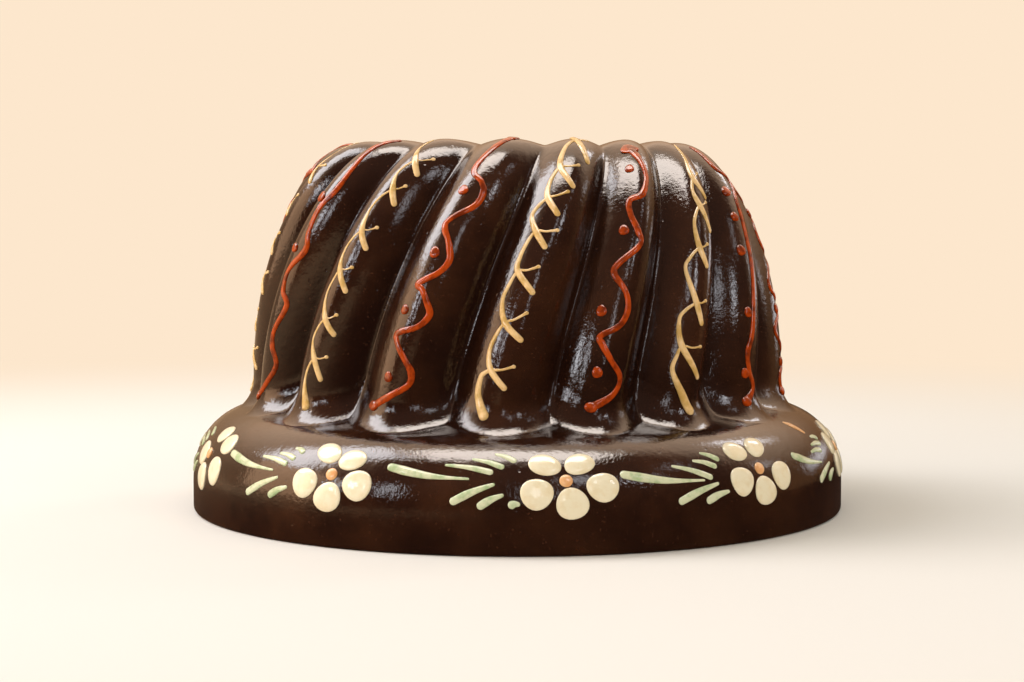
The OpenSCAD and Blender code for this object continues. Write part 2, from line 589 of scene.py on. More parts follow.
@dataclass(frozen=True)
class LeadGlaze:
    """Manganese-brown lead glaze over red earthenware, dipped and fired in a wood or coal kiln.

    To the eye it is almost black where it is thick, warm brown where it runs thin over an edge,
    very glossy, and dimpled like orange peel, so that highlights break up at their edges.
    """

    thick: str = "#200f09"
    thin: str = "#3d2213"
    fleck: str = "#482c1e"
    cloud_mm: float = 26.0
    thin_span: Span = (0.3, 0.8)
    fleck_mm: float = 0.9
    fleck_span: Span = (0.66, 0.74)
    roughness: Span = (0.025, 0.06)
    rough_span: Span = (0.3, 0.7)
    ior: float = 1.6
    # Ripples, orange peel and fine grain
    relief: Layers = ((7.0, 2.0, 0.13), (1.5, 3.0, 0.08), (0.7, 2.0, 0.035))
    pit_mm: float = 6.0
    pit_span: Span = (0.03, 0.1)
    pit_depth: float = 0.07

    def build(self) -> bpy.types.Material:
        """Builds the material.

        Returns:
            The material, whose colour also follows the attribute pool, how deep the glaze lies.
        """
        material, tree, place = new_material("manganese brown lead glaze")
        cloud = add_node(tree, "TexNoise", grains(place, self.cloud_mm, 5.0)).outputs["Fac"]
        pool = add_node(tree, "Attribute", attribute_name="pool", attribute_type="GEOMETRY").outputs["Fac"]
        left = add_node(tree, "Math", {0: cloud, 1: pool}, operation="SUBTRACT").outputs[0]
        tint = blended(tree, left, self.thin_span, self.thick, self.thin)
        specks = add_node(tree, "TexNoise", grains(place, self.fleck_mm, 2.0)).outputs["Fac"]
        flecked = blended(tree, specks, self.fleck_span, tint, self.fleck)
        cells = add_node(tree, "TexVoronoi", {"Vector": place, "Scale": 1 / (self.pit_mm * MM)})
        inputs = ramp(cells.outputs["Distance"], self.pit_span)
        pits = add_node(tree, "MapRange", inputs, **SMOOTH).outputs["Result"]
        inputs = {"Strength": 1.0, "Distance": self.pit_depth * MM, "Height": pits}
        pitted = add_node(tree, "Bump", inputs | dimples(tree, place, self.relief)).outputs[0]
        low, high = self.roughness
        inputs = ramp(cloud, self.rough_span) | {"To Min": low, "To Max": high}
        gloss = add_node(tree, "MapRange", inputs).outputs["Result"]
        inputs = {"Base Color": flecked, "Roughness": gloss, "IOR": self.ior, "Normal": pitted}
        add_node(tree, "OutputMaterial", {"Surface": add_node(tree, "BsdfPrincipled", inputs).outputs[0]})
        return material


@dataclass(frozen=True)
class GlazedSlip:
    """Coloured slip trailed from a horn under the clear lead glaze: raised, soft-edged and glossy,
    a little darker where it lies thin, with the same fine dimples as the glaze."""

    name: str
    slot: str
    body: str
    thin: str
    roughness: float = 0.08
    ior: float = 1.55
    cloud_mm: float = 4.0
    thin_span: Span = (0.33, 0.6)
    relief: Layers = ((1.6, 2.0, 0.05),)

    def build(self) -> bpy.types.Material:
        """Builds the material.

        Returns:
            The material, whose thin places come from a millimetre-sized cloud.
        """
        material, tree, place = new_material(self.name)
        cloud = add_node(tree, "TexNoise", grains(place, self.cloud_mm, 4.0)).outputs["Fac"]
        tint = blended(tree, cloud, self.thin_span, self.thin, self.body)
        inputs = {"Base Color": tint, "Roughness": self.roughness, "IOR": self.ior}
        inputs |= dimples(tree, place, self.relief)
        add_node(tree, "OutputMaterial", {"Surface": add_node(tree, "BsdfPrincipled", inputs).outputs[0]})
        return material


class SlipColour(Enum):
    """The slips that the potter trailed on, by the names of their pieces."""

    VINE = "slip_vines"
    PETAL = "slip_petals"
    RED = "slip_waves"
    ORANGE = "slip_dots"
    GREEN = "slip_leaves"


SLIPS = {
    SlipColour.VINE: GlazedSlip("cream slip under honey glaze", "slip_cream", "#f1cb91", "#cfa65e"),
    SlipColour.PETAL: GlazedSlip("pale cream slip", "slip_cream", "#fbefcf", "#f5e4bd"),
    SlipColour.RED: GlazedSlip("rust red slip", "slip_red", "#b8440d", "#6e2406"),
    SlipColour.ORANGE: GlazedSlip("orange slip", "slip_orange", "#fac48d", "#e9a76c"),
    SlipColour.GREEN: GlazedSlip("copper green slip", "slip_green", "#dfe2bd", "#afc391"),
}


# The fired body


def column(start: float, end: float, count: int) -> Array:
    """Evenly spaced places from start to end as one column of a grid."""
    return np.linspace(start, end, count)[:, None]


@dataclass
class FiredBody:
    """The mould itself: one closed shell from rim to crown and down the centre tube.

    The columns crowd beside the valleys as a power, where the curve is tight, and the glaze pools in
    the valleys as the cube of their hollow.
    """

    shape: MouldShape
    lobe_columns: int = 28
    crowding: float = 1.35
    band_rows: int = 30
    foot_rows: int = 22
    crown_rows: int = 64
    funnel_rows: int = 25
    tube_rows: int = 8
    run_out_rows: int = 7
    inner_crown_rows: int = 26
    inner_funnel_rows: int = 10
    inner_band_rows: int = 13
    pool_depth: float = 0.35

    def columns(self) -> Array:
        """Lobe coordinates of the columns, whole numbers being valleys.

        Returns:
            The coordinates.
        """
        x = np.linspace(-1, 1, self.lobe_columns, endpoint=False)
        one = 0.5 + 0.5 * np.sign(x) * (1 - (1 - np.abs(x)) ** self.crowding)
        return (np.arange(self.shape.flutes)[:, None] + one).ravel()

    def block(self, r: Array, z: Array, turn: Array | float = 0.0) -> Array:
        """Rows of the grid as radius, height and turn, each spread over all the columns."""
        columns = np.zeros((1, self.shape.flutes * self.lobe_columns))
        return np.stack(np.broadcast_arrays(r, z, turn, columns)[:3])

    def outside(self, col: Array) -> list[Array]:
        """Outer rows: from the rim over the flange, up the flutes, over the crown and down the bore.

        Args:
            col: lobe coordinates of the columns.

        Returns:
            The rows in blocks.
        """
        s = self.shape
        hollow = s.hollow(col)[None]
        path, rs, zs = s.flange_path(s.seam_r)
        band = np.vstack([path[-1:], column(path[-2], 0, self.band_rows)])
        start = s.foot_start(hollow)
        reach = s.flare_length(hollow) + s.seam_r - s.toe_r(hollow)
        down = column(1, 0, self.foot_rows + 2)[1:-1] * reach
        up = start + column(0, 1, self.crown_rows) * (s.crown_run - start)
        f = column(QUARTER, 0, self.funnel_rows + 1)[1:]
        over = s.funnel_run(f)
        bore = column(s.throat_z, s.tip_rise + s.tube_wall / 2, self.tube_rows)[1:]
        return [
            self.block(np.interp(band, path, rs), np.interp(band, path, zs)),
            self.block(*s.below_foot(hollow, down), s.turn(start - down)),
            self.block(*s.arc(s.crown_angle(up), s.depth(up) * hollow), s.turn(up)),
            self.block(*s.arc(f, s.depth(over) * hollow, funnel=True), s.turn(over)),
            self.block(s.bore_r(bore), bore, s.turn(over[-1:])),
        ]

    def inside(self, col: Array) -> list[Array]:
        """Inner rows: round the tube's tip, up its outside, under the crown and down round the rim.

        Args:
            col: lobe coordinates of the columns.

        Returns:
            The rows in blocks.
        """
        s = self.shape
        hollow = s.soft_hollow(col)[None]
        half, turn = s.tube_wall / 2, s.turn(s.funnel_run(np.zeros((1, 1))))
        lip = np.radians(column(180, 360, self.tube_rows + 1)[1:])
        tube = column(s.tip_rise + half, s.throat_z, self.tube_rows + 1)[1:-1]
        f = column(0, QUARTER, self.inner_funnel_rows + 1)[:-1]
        g = column(QUARTER, 0, self.inner_crown_rows)
        over, under = s.funnel_run(f), np.interp(g, *s.runs())
        swing = column(0, QUARTER, self.inner_band_rows + 1)[1:]
        band = s.seam_r + (s.rim_r - s.wall - s.seam_r) * np.sin(swing)
        # The rim's two rounded edges, in sixteenths of a turn
        edge = np.radians(22.5 * np.array([[8, 9, 10, 11, 12, 12, 13, 14, 15]])).T
        centre = np.repeat((s.rim_r - s.wall + s.rim_round, s.rim_r - s.rim_round), (5, 4))[:, None]
        return [
            self.block(s.tip_r + half + half * np.cos(lip), s.tip_rise + half + half * np.sin(lip), turn),
            self.block(s.bore_r(tube) + s.tube_wall, tube, turn),
            self.block(*s.arc(f, s.depth(over) * hollow, s.wall, funnel=True), s.turn(over)),
            self.block(*s.arc(g, s.depth(under) * hollow, s.wall), s.turn(under)),
            self.block(*s.run_out(hollow, column(0, 1, self.run_out_rows + 1)[1:])),
            self.block(band, s.band_z(band, s.wall)),
            self.block(centre + s.rim_round * np.cos(edge), s.rim_round + s.rim_round * np.sin(edge)),
        ]

    def build(self) -> bpy.types.Object:
        """Builds the shell and stores how deep the glaze lies outside as the attribute pool.

        Returns:
            The piece.
        """
        col = self.columns()
        outside = np.concatenate(self.outside(col), axis=1)
        r, z, turn = np.concatenate([outside, *self.inside(col)], axis=1)
        grid = around(self.shape.column_angle(col)[None] + turn, r, z)
        piece = make_piece("mould_body", closed_grid(grid), LeadGlaze().build())
        pool = np.zeros(r.shape, np.float32)
        pool[self.band_rows + 1 : outside.shape[1]] = self.pool_depth * self.shape.hollow(col) ** 3
        layer = piece.data.attributes.new("pool", "FLOAT", "POINT")
        layer.data.foreach_set("value", pool.ravel())
        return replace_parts(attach(piece, "root"), "mould")


# Slip trailing


def smooth_path(points: Array, steps: int = 10) -> Array:
    """Catmull-Rom curve through points, the first and last doubled.

    Args:
        points: control points, one a row.
        steps: points on the curve between two control points.

    Returns:
        The curve's points.
    """
    p = np.concatenate([points[:1], points, points[-1:]])
    t = np.linspace(0, 1, steps, endpoint=False)[None, :, None]
    a, b, c, d = p[:-3, None], p[1:-2, None], p[2:-1, None], p[3:, None]
    bend, twist = 2 * a - 5 * b + 4 * c - d, 3 * b - a - 3 * c + d
    curve = 0.5 * (2 * b + (c - a) * t + bend * t**2 + twist * t**3)
    return np.concatenate([curve.reshape(-1, points.shape[1]), points[-1:]])


def bead(centre: Array, normal: Array, widths: Widths, rise: float) -> Patch:
    """A bead of slip: half an ellipse above the glaze along a path, a little sunk, with round ends.

    Args:
        centre: path on the surface in millimetres.
        normal: surface normal at each point.
        widths: widths at evenly spaced points of the path.
        rise: height over half the width.

    Returns:
        The closed patch.
    """
    sides, sunk, least = 10, 0.35, 0.02
    width = np.interp(np.linspace(0, 1, len(centre)), np.linspace(0, 1, len(widths)), widths)
    run = run_along(centre)
    first, last = width[0] / 2, width[-1] / 2
    bend = 1 - np.cos(np.linspace(0, QUARTER, 6)[1:])
    ends = np.concatenate([first * bend, run, run[-1] - last * bend])
    at = np.unique(np.clip(ends, run[0], run[-1]).round(4))
    at = at[(at > least) & (at < run[-1] - least)]
    axes = [np.interp(at, run, values) for values in (*centre.T, *normal.T, width)]
    middle, out, half = np.stack(axes[:3], axis=-1), np.stack(axes[3:6], axis=-1), axes[6] / 2
    half *= np.sqrt(1 - np.clip(1 - at / first, 0, 1) ** 2)
    half *= np.sqrt(1 - np.clip(1 - (run[-1] - at) / last, 0, 1) ** 2)
    side = normals_of(out, np.gradient(middle, axis=0))
    a = np.linspace(0, 2 * math.pi, sides, endpoint=False)
    up = np.sin(a) * np.where(np.sin(a) > 0, rise, sunk)
    rings = middle[:, None] + side[:, None] * (half[:, None] * np.cos(a))[..., None]
    rings = rings + out[:, None] * (half[:, None] * up)[..., None]
    return rings_with_poles(rings, centre[0], centre[-1])


@dataclass(frozen=True)
class Blob:
    """A drop of slip on its own flat map, x across and y down the piece, in millimetres.

    The outline is an ellipse turned by some degrees. It is narrower, by the share egg, at the end that
    points the way egg_way, and wavers three times round by the share waver.
    """

    across: float
    along: float
    turn: float = 0.0
    rise: float = 0.8
    egg: float = 0.0
    egg_way: float = 0.0
    waver: float = 0.0

    def spread(self, q: Array, a: Array) -> tuple[Array, Array]:
        """Map places of the drop.

        Args:
            q: share of the outline's radius.
            a: angle on the unturned ellipse.

        Returns:
            Places across and down.
        """
        turn, way = np.exp(1j * np.radians([self.turn, self.egg_way]))
        radius = q * (1 + self.waver * np.cos(3 * a + 1.0))
        spot = radius * (self.across * np.cos(a) + 1j * self.along * np.sin(a)) * turn / way
        slim = 1 - self.egg * spot.real / max(self.across, self.along)
        spot = (spot.real + 1j * spot.imag * slim) * way
        return spot.real, spot.imag

    def dome(self, surface: Surface) -> Patch:
        """A flattened dome over the outline: at radius share q it rises as the root of 1 - q^4.

        Args:
            surface: gives the points and normals under places on the drop's map.

        Returns:
            The closed patch, a little sunk at its edge.
        """
        edge_sunk, base_sunk, sides = 0.12, 0.3, 28
        q = np.array([1.0, 0.97, 0.9, 0.78, 0.6, 0.4, 0.2])[:, None]
        a = np.linspace(0, 2 * math.pi, sides, endpoint=False)[None]
        points, out = surface(*self.spread(q, a))
        up = self.rise * np.sqrt(np.maximum(1 - q**4, 0)) - edge_sunk * (q == 1.0) + 0 * a
        middle, way = (value[0, 0] for value in surface(np.zeros((1, 1)), np.zeros((1, 1))))
        rings = points + out * up[..., None]
        return rings_with_poles(rings, middle - base_sunk * way, middle + self.rise * way)


@dataclass(frozen=True)
class WaveTrail:
    """A red wave down one lobe: control points as (side, share of run), side from -1 to 1, and its dots."""

    points: Places
    dots: Places
    head: float = 1.6


@dataclass(frozen=True)
class VineTrail:
    """A cream vine down one lobe.

    Each arc starts thin at a joint, swings out to a bend, runs through the next joint and ends in a tail.
    A short twig crosses at that next joint. The last arc ends in a drop at the lobe's foot. A vine may
    start with a separate thick stroke. Its line is the width of the arcs beside that of the usual vine.
    """

    joints: Places
    bends: Places
    tails: Places
    twigs: Places
    drop: Places
    start: Places = ()
    line: float = 1.0


@dataclass
class LobeTrailing:
    """Slip trailed down the lobes: cream vines and red waves in turn."""

    shape: MouldShape
    rng: np.random.Generator
    start_widths: Widths = (2.2, 2.6, 2.0)
    vine_widths: Widths = (1.0, 0.7, 1.0, 1.4, 1.6, 2.3, 1.9)
    drop_widths: Widths = (0.9, 0.7, 1.1, 1.6, 2.0, 2.7, 3.6)
    wave_width: float = 2.1
    wave_rise: float = 0.42
    wave_play: float = 0.13
    play_step: float = 2.4
    foot_width: float = 2.9
    blot_size: Span = (0.9, 0.75)
    dot_sizes: Span = (1.5, 1.9)
    dot_length: float = 1.1
    twig_sag: float = 0.004
    knob: Blob = Blob(0.75, 0.6, rise=0.35)
    foot: Blob = Blob(2.1, 1.7, turn=-15.0, rise=0.8)

    def on_lobe(self, lobe: int, path: Array) -> tuple[Array, Array]:
        """Places on a lobe.

        Args:
            lobe: number of the lobe, 0 being just left of the front.
            path: places as (side, share), side and share last.

        Returns:
            Surface points and normals.
        """
        s, step = self.shape, 1e-3
        col, share = lobe + (path[..., 0] + 1) / 2, path[..., 1]
        across = s.lobe_point(col + step, share) - s.lobe_point(col - step, share)
        along = s.lobe_point(col, share + step) - s.lobe_point(col, share - step)
        return s.lobe_point(col, share), normals_of(across, along)

    def stroke(self, lobe: int, points: Places, widths: Widths, rise: float = 0.5) -> Patch:
        """A bead through (side, share) points, its width running evenly through the given widths."""
        return bead(*self.on_lobe(lobe, smooth_path(np.array(points))), widths, rise)

    def dot(self, lobe: int, place: Sequence[float], blob: Blob) -> Patch:
        """A drop laid on the plane that touches the lobe at a place.

        Args:
            lobe: number of the lobe.
            place: the place as (side, share).
            blob: the drop.

        Returns:
            The closed patch.
        """
        centre, normal = (value[0] for value in self.on_lobe(lobe, np.array([place])))
        across = normals_of(np.array([0.0, 0.0, 1.0]), normal)
        along = np.cross(normal, across)
        flat = np.broadcast_to(normal, (1, 1, 3))
        return blob.dome(lambda x, y: (centre + across * x[..., None] + along * y[..., None], flat))

    def wave(self, lobe: int, plan: WaveTrail) -> list[Patch]:
        """The wave with a fat end at the foot, a blot where its head is wide, and its dots.

        Args:
            lobe: number of the lobe.
            plan: the wave's places.

        Returns:
            The patches.
        """
        play = self.wave_width * (1 + self.wave_play * np.sin(self.play_step * np.arange(len(plan.points))))
        widths = (plan.head, *play[1:-1].tolist(), self.foot_width)
        patches = [self.stroke(lobe, plan.points, widths, self.wave_rise)]
        if plan.head > self.wave_width:
            across, along = (share * plan.head for share in self.blot_size)
            blot = Blob(across, along, turn=10.0, rise=0.45, waver=0.12)
            patches.append(self.dot(lobe, plan.points[0], blot))
        for place in plan.dots:
            size = self.rng.uniform(*self.dot_sizes)
            drop = Blob(size, self.dot_length * size, rise=0.6, waver=0.05)
            patches.append(self.dot(lobe, place, drop))
        return [*patches, self.dot(lobe, plan.points[-1], self.foot)]

    def vine(self, lobe: int, plan: VineTrail) -> list[Patch]:
        """The vine's arcs with their tails, its twigs, and the long arc that ends in a drop.

        Args:
            lobe: number of the lobe.
            plan: the vine's places.

        Returns:
            The patches.
        """
        patches = [self.stroke(lobe, plan.start, self.start_widths)] if plan.start else []
        begin = plan.joints[:1]
        for bend, joint, tail, twig in zip(plan.bends, plan.joints[1:], plan.tails, plan.twigs):
            way = (*begin, self.shoulder(begin[-1], bend), bend, joint, tail)
            patches.append(self.stroke(lobe, way, self.widths(self.vine_widths, len(way), plan.line)))
            patches.append(self.dot(lobe, twig, self.knob))
            begin = (twig, ((twig[0] + joint[0]) / 2, (twig[1] + joint[1]) / 2 - self.twig_sag), joint)
        way = (*begin, self.shoulder(begin[-1], plan.drop[0]), *plan.drop)
        return [*patches, self.stroke(lobe, way, self.widths(self.drop_widths, len(way), plan.line))]

    @staticmethod
    def widths(full: Widths, count: int, line: float) -> Widths:
        """The last count widths of a stroke, thinned to the vine's own line but for the last two."""
        return (*(line * width for width in full[-count:-2]), *full[-2:])

    @staticmethod
    def shoulder(joint: Sequence[float], bend: Sequence[float]) -> tuple[float, float]:
        """Place between a joint and the next bend at which a stroke has swung most of the way across."""
        swing, climb = 0.72, 0.4
        return joint[0] + swing * (bend[0] - joint[0]), joint[1] + climb * (bend[1] - joint[1])

    def plain_wave(self) -> WaveTrail:
        """A wave for a lobe that turns away from the front: a zigzag of even steps with a little play.

        Returns:
            Its places.
        """
        count, ends, sides = 18, (0.98, 0.03), (0.24, -0.16)
        share_play, side_play = 0.01, 0.1
        dotted, dot_shift = [3, 6, 12, 15], (0.3, 0.01)
        share = np.linspace(*ends, count) + self.rng.uniform(-share_play, share_play, count)
        side = np.where(np.arange(count) % 3 == 0, *sides) + self.rng.uniform(-side_play, side_play, count)
        points = np.stack([side, share], axis=-1)
        return WaveTrail(points, points[dotted] - dot_shift)

    def plain_vine(self) -> VineTrail:
        """A vine for a lobe that turns away from the front: even joints with a little play.

        Returns:
            Its places.
        """
        count, ends, sides, play = 7, (0.97, 0.16), (-0.3, -0.08), 0.012
        swing, climb, tail, twig = 0.14, 0.42, (0.4, -0.072), (0.38, 0.008)
        drop = np.array([(-0.14, 0.09), (-0.06, 0.045), (0.05, 0.005)])
        share = np.linspace(*ends, count) + self.rng.uniform(-play, play, count)
        joints = np.stack([self.rng.uniform(*sides, count), share], axis=-1)
        before, after = joints[:-1], joints[1:]
        side = np.minimum(before[:, 0], after[:, 0]) - swing
        bends = np.stack([side, after[:, 1] + climb * (before[:, 1] - after[:, 1])], axis=-1)
        return VineTrail(joints, bends, after + tail, after + twig, drop + (joints[-1, 0], 0))


@dataclass(frozen=True)
class LeafSpray:
    """Brush strokes between two flowers, each from one (angle, run) place to another."""

    long: Sequence[Places]
    upper: Sequence[Places]
    lower: Sequence[Places]

    def moved(self, angle: float, stretch: float, rng: np.random.Generator) -> "LeafSpray":
        """The spray for another gap round the flange.

        Args:
            angle: degrees that it is moved on.
            stretch: its angles' share of what they were.
            rng: gives the play in every place.

        Returns:
            The new spray.
        """
        play = 0.5
        groups = (np.array(strokes) * (stretch, 1.0) + (angle, 0.0) for strokes in vars(self).values())
        return LeafSpray(*(places + rng.uniform(-play, play, places.shape) for places in groups))


@dataclass
class FlangeTrailing:
    """Flowers and leaves round the flange."""

    shape: MouldShape
    rng: np.random.Generator
    flower_run: float = 19.0
    map_r: float = 112.0
    steps: tuple[Span, Span] = ((0.05, 0.0), (0.0, 0.05))
    petal_width: float = 5.05
    petal_runs: Span = (12.0, 22.0)
    petal_heights: Span = (3.6, 4.8)
    petal_rise: float = 0.7
    petal_tilt: float = 0.3
    petal_egg: float = 0.13
    across_play: Span = (0.95, 1.05)
    along_play: Span = (0.97, 1.05)
    waver_play: Span = (0.0, 0.03)
    middle: Blob = Blob(2.1, 2.0, rise=0.7)
    leaf_width: Widths = (2.5, 3.0, 2.2, 1.1, 0.7)
    lower_width: Widths = (2.4, 2.6, 1.8, 0.9)
    upper_width: Widths = (0.8, 1.4, 2.0, 2.0)
    long_bow: float = 0.9
    short_bow: float = -0.5

    def point(self, x: Array, y: Array) -> Array:
        """Surface point at x millimetres round the flange from the front and y millimetres down it."""
        return self.shape.flange_point(np.degrees(x / self.map_r), y)

    def surface(self, x: Array, y: Array) -> tuple[Array, Array]:
        """Surface points and normals at the same places, the normals across two short steps."""
        across, down = (self.point(x + u, y + v) - self.point(x - u, y - v) for u, v in self.steps)
        return self.point(x, y), normals_of(down, across)

    def drop(self, x: float, y: float, blob: Blob) -> Patch:
        """A dome of slip at a place on the flange."""
        return blob.dome(lambda u, v: self.surface(x + u, y + v))

    def flower(self, angle: float, petals: Places) -> tuple[list[Patch], Patch]:
        """Five petals round a dot.

        Args:
            angle: angle of the dot.
            petals: petal middles in millimetres across and down from the dot.

        Returns:
            The petals, each narrower towards the dot and flatter high up, and the dot.
        """
        middle = math.radians(angle) * self.map_r
        patches = []
        for x, y in petals:
            run = self.flower_run + y
            across = self.petal_width * self.rng.uniform(*self.across_play)
            along = np.interp(run, self.petal_runs, self.petal_heights) * self.rng.uniform(*self.along_play)
            inward = math.degrees(math.atan2(-y, -x))
            turn = math.degrees(math.atan2(y, abs(x))) * math.copysign(self.petal_tilt, x)
            waver = self.rng.uniform(*self.waver_play)
            petal = Blob(across, along, turn, self.petal_rise, self.petal_egg, inward, waver)
            patches.append(self.drop(middle + x, run, petal))
        return patches, self.drop(middle, self.flower_run, self.middle)

    def stroke(self, places: Places, bow: float, widths: Widths, rise: float = 0.38) -> Patch:
        """A brushed leaf: a bead between two places.

        Args:
            places: the two as (angle, run).
            bow: millimetres that its middle hangs down.
            widths: widths along it.
            rise: height over half the width.

        Returns:
            The closed patch.
        """
        ends = np.array(places) * (math.radians(1) * self.map_r, 1.0)
        path = smooth_path(np.stack([ends[0], ends.mean(axis=0) + (0.0, bow), ends[1]]))
        return bead(*self.surface(*path.T), widths, rise)

    def leaves(self, spray: LeafSpray) -> list[Patch]:
        """The leaf strokes of a spray; the upper ones end thick, the others start thick.

        Args:
            spray: their places.

        Returns:
            The patches.
        """
        kinds = (
            (spray.long, self.long_bow, self.leaf_width),
            (spray.lower, self.short_bow, self.lower_width),
            (spray.upper, self.short_bow, self.upper_width),
        )
        return [self.stroke(places, bow, widths) for strokes, bow, widths in kinds for places in strokes]


FRONT_WAVES = {
    -4: WaveTrail(
        points=(
            (0.32, 1), (0.12, 0.93), (0.25, 0.81), (0.28, 0.73), (0.15, 0.66), (0.22, 0.58),
            (0.35, 0.516), (0.12, 0.443), (0.18, 0.375), (0.38, 0.329), (0.22, 0.241), (0.25, 0.191),
            (0.42, 0.124), (0.15, 0.054), (-0.12, 0.02),
        ),
        dots=((-0.05, 0.7), (0.02, 0.52)),
    ),
    -2: WaveTrail(
        points=(
            (0.12, 0.996), (-0.22, 0.816), (0.12, 0.751), (0.25, 0.718), (0.22, 0.668), (-0.15, 0.619),
            (-0.15, 0.592), (0.02, 0.555), (0.12, 0.529), (0.22, 0.488), (0.12, 0.448), (-0.18, 0.414),
            (-0.05, 0.395), (0.12, 0.358), (0.25, 0.318), (0.12, 0.28), (-0.22, 0.26), (-0.18, 0.232),
            (0.08, 0.178), (0.25, 0.138), (0.25, 0.1), (0.02, 0.071), (-0.38, 0.031),
        ),
        dots=((-0.18, 0.723), (-0.12, 0.513), (-0.25, 0.333), (-0.15, 0.123)),
        head=2.4,
    ),
    0: WaveTrail(
        points=(
            (-0.28, 0.908), (-0.02, 0.828), (0.08, 0.766), (-0.05, 0.708), (-0.35, 0.691),
            (-0.28, 0.638), (-0.05, 0.579), (0.05, 0.537), (-0.35, 0.48), (-0.38, 0.447),
            (-0.05, 0.384), (0.08, 0.331), (-0.02, 0.285), (-0.35, 0.254), (-0.28, 0.228),
            (-0.02, 0.176), (0.28, 0.123), (0.18, 0.073), (-0.25, 0.035),
        ),
        dots=((-0.38, 0.815), (-0.38, 0.59), (-0.45, 0.333), (-0.25, 0.142)),
        head=3.4,
    ),
    2: WaveTrail(
        points=(
            (-0.28, 0.95), (-0.28, 0.828), (0.08, 0.768), (-0.08, 0.69), (-0.12, 0.633),
            (-0.12, 0.562), (-0.08, 0.475), (-0.08, 0.409), (-0.12, 0.245), (-0.22, 0.181),
            (-0.15, 0.117), (0.02, 0.06), (-0.2, 0.02),
        ),
        dots=((-0.35, 0.728), (-0.35, 0.515), (-0.25, 0.307), (-0.25, 0.111), (-0.35, 0.633)),
    ),
}

FRONT_VINES = {
    -3: VineTrail(
        joints=(
            (-0.12, 0.975), (0.18, 0.841), (0.18, 0.726), (0.05, 0.582), (-0.02, 0.453), (0.08, 0.295),
            (0.08, 0.168),
        ),
        bends=((-0.05, 0.9), (0.02, 0.78), (-0.05, 0.65), (-0.15, 0.51), (-0.12, 0.37), (-0.08, 0.225)),
        tails=((0.48, 0.786), (0.42, 0.672), (0.35, 0.519), (0.32, 0.379), (0.38, 0.241), (0.32, 0.094)),
        twigs=((0.5, 0.865), (0.38, 0.745), (0.32, 0.596), (0.22, 0.462), (0.28, 0.309), (0.32, 0.174)),
        drop=((-0.06, 0.1), (0, 0.05), (0.12, 0)),
        line=0.6,
    ),
    -1: VineTrail(
        joints=(
            (0.45, 0.985), (-0.28, 0.815), (-0.35, 0.7), (-0.35, 0.586), (-0.42, 0.458),
            (-0.32, 0.296), (-0.32, 0.151),
        ),
        bends=((-0.3, 0.9), (-0.42, 0.75), (-0.55, 0.643), (-0.48, 0.505), (-0.52, 0.368), (-0.45, 0.209)),
        tails=((0.18, 0.728), (0.02, 0.63), (-0.02, 0.523), (0.05, 0.381), (0.12, 0.237), (0.05, 0.09)),
        twigs=((0.15, 0.818), (0.05, 0.715), (0.08, 0.584), (-0.05, 0.468), (0.02, 0.325), (0.08, 0.162)),
        drop=((-0.48, 0.126), (-0.45, 0.071), (-0.25, 0)),
        start=((-0.12, 1.0), (0.15, 0.92), (0.42, 0.834)),
    ),
    1: VineTrail(
        joints=(
            (0.12, 0.942), (-0.15, 0.774), (-0.12, 0.67), (-0.18, 0.526), (-0.15, 0.347),
            (-0.32, 0.213),
        ),
        bends=((-0.1, 0.86), (-0.25, 0.72), (-0.3, 0.6), (-0.45, 0.457), (-0.45, 0.295)),
        tails=((0.22, 0.691), (0.25, 0.573), (0.08, 0.455), (0.08, 0.273), (0.22, 0.107)),
        twigs=((0.1, 0.79), (0.15, 0.68), (0.05, 0.535), (0.1, 0.352), (0.12, 0.209)),
        drop=((-0.42, 0.136), (-0.15, 0.058), (0.05, 0)),
        line=0.8,
    ),
}

FRONT_FLOWERS = {
    -67.3: ((3.7, -8.1), (13.0, -5.0), (-7.0, 0.5), (-2.7, 8.1), (9.8, 4.8)),
    -30.9: ((-3.7, -7.2), (5.9, -5.3), (-9.8, 3.3), (-0.4, 7.1), (9.6, 2.8)),
    7.4: ((-6.1, -5.4), (4.5, -5.5), (11.1, 2.2), (1.6, 6.9), (-8.8, 3.9)),
    42.9: ((-7.4, -6.8), (2.6, -7.6), (10.2, 3.1), (0.9, 7.2), (-8.7, 3.3)),
}

FRONT_LEAVES = {
    -67.3: LeafSpray(
        long=(((-57.7, 16.3), (-43.6, 19.7)),),
        upper=(
            ((-47.6, 15.6), (-40.8, 17.2)), ((-43.7, 13.7), (-39.5, 15.2)), ((-40.7, 11.2), (-38.2, 12.7)),
        ),
        lower=(((-49.6, 28.4), (-42.0, 21.7)), ((-43.7, 28.1), (-39.5, 24.4))),
    ),
    -30.9: LeafSpray(
        long=(((-21.2, 15.1), (-7.6, 18.4)),),
        upper=(((-11.7, 13.9), (-3.9, 16.3)), ((-7.4, 11.6), (-2.2, 14.6)), ((-3.8, 9.5), (-0.3, 12.5))),
        lower=(((-10.4, 25.9), (-3.6, 19.9)), ((-6.2, 27.2), (-2.2, 23.2)), ((-1.5, 26.8), (0.3, 26.2))),
    ),
    7.4: LeafSpray(
        long=(((16.1, 17.3), (30.8, 20.9)),),
        upper=(((25.2, 15.5), (32.4, 20.4)), ((29.4, 14.2), (33.8, 17.0)), ((31.4, 11.6), (34.8, 14.8))),
        lower=(((25.5, 27.2), (33.4, 22.2)), ((30.6, 27.7), (35.3, 25.0))),
    ),
    42.9: LeafSpray(
        long=(((53.0, 16.4), (63.7, 21.3)),),
        upper=(((60.6, 17.1), (65.8, 17.5)), ((62.3, 14.8), (67.4, 15.3)), ((64.6, 12.0), (67.7, 13.3))),
        lower=(((61.0, 27.2), (68.0, 22.4)), ((65.8, 27.8), (69.8, 25.0))),
    ),
}

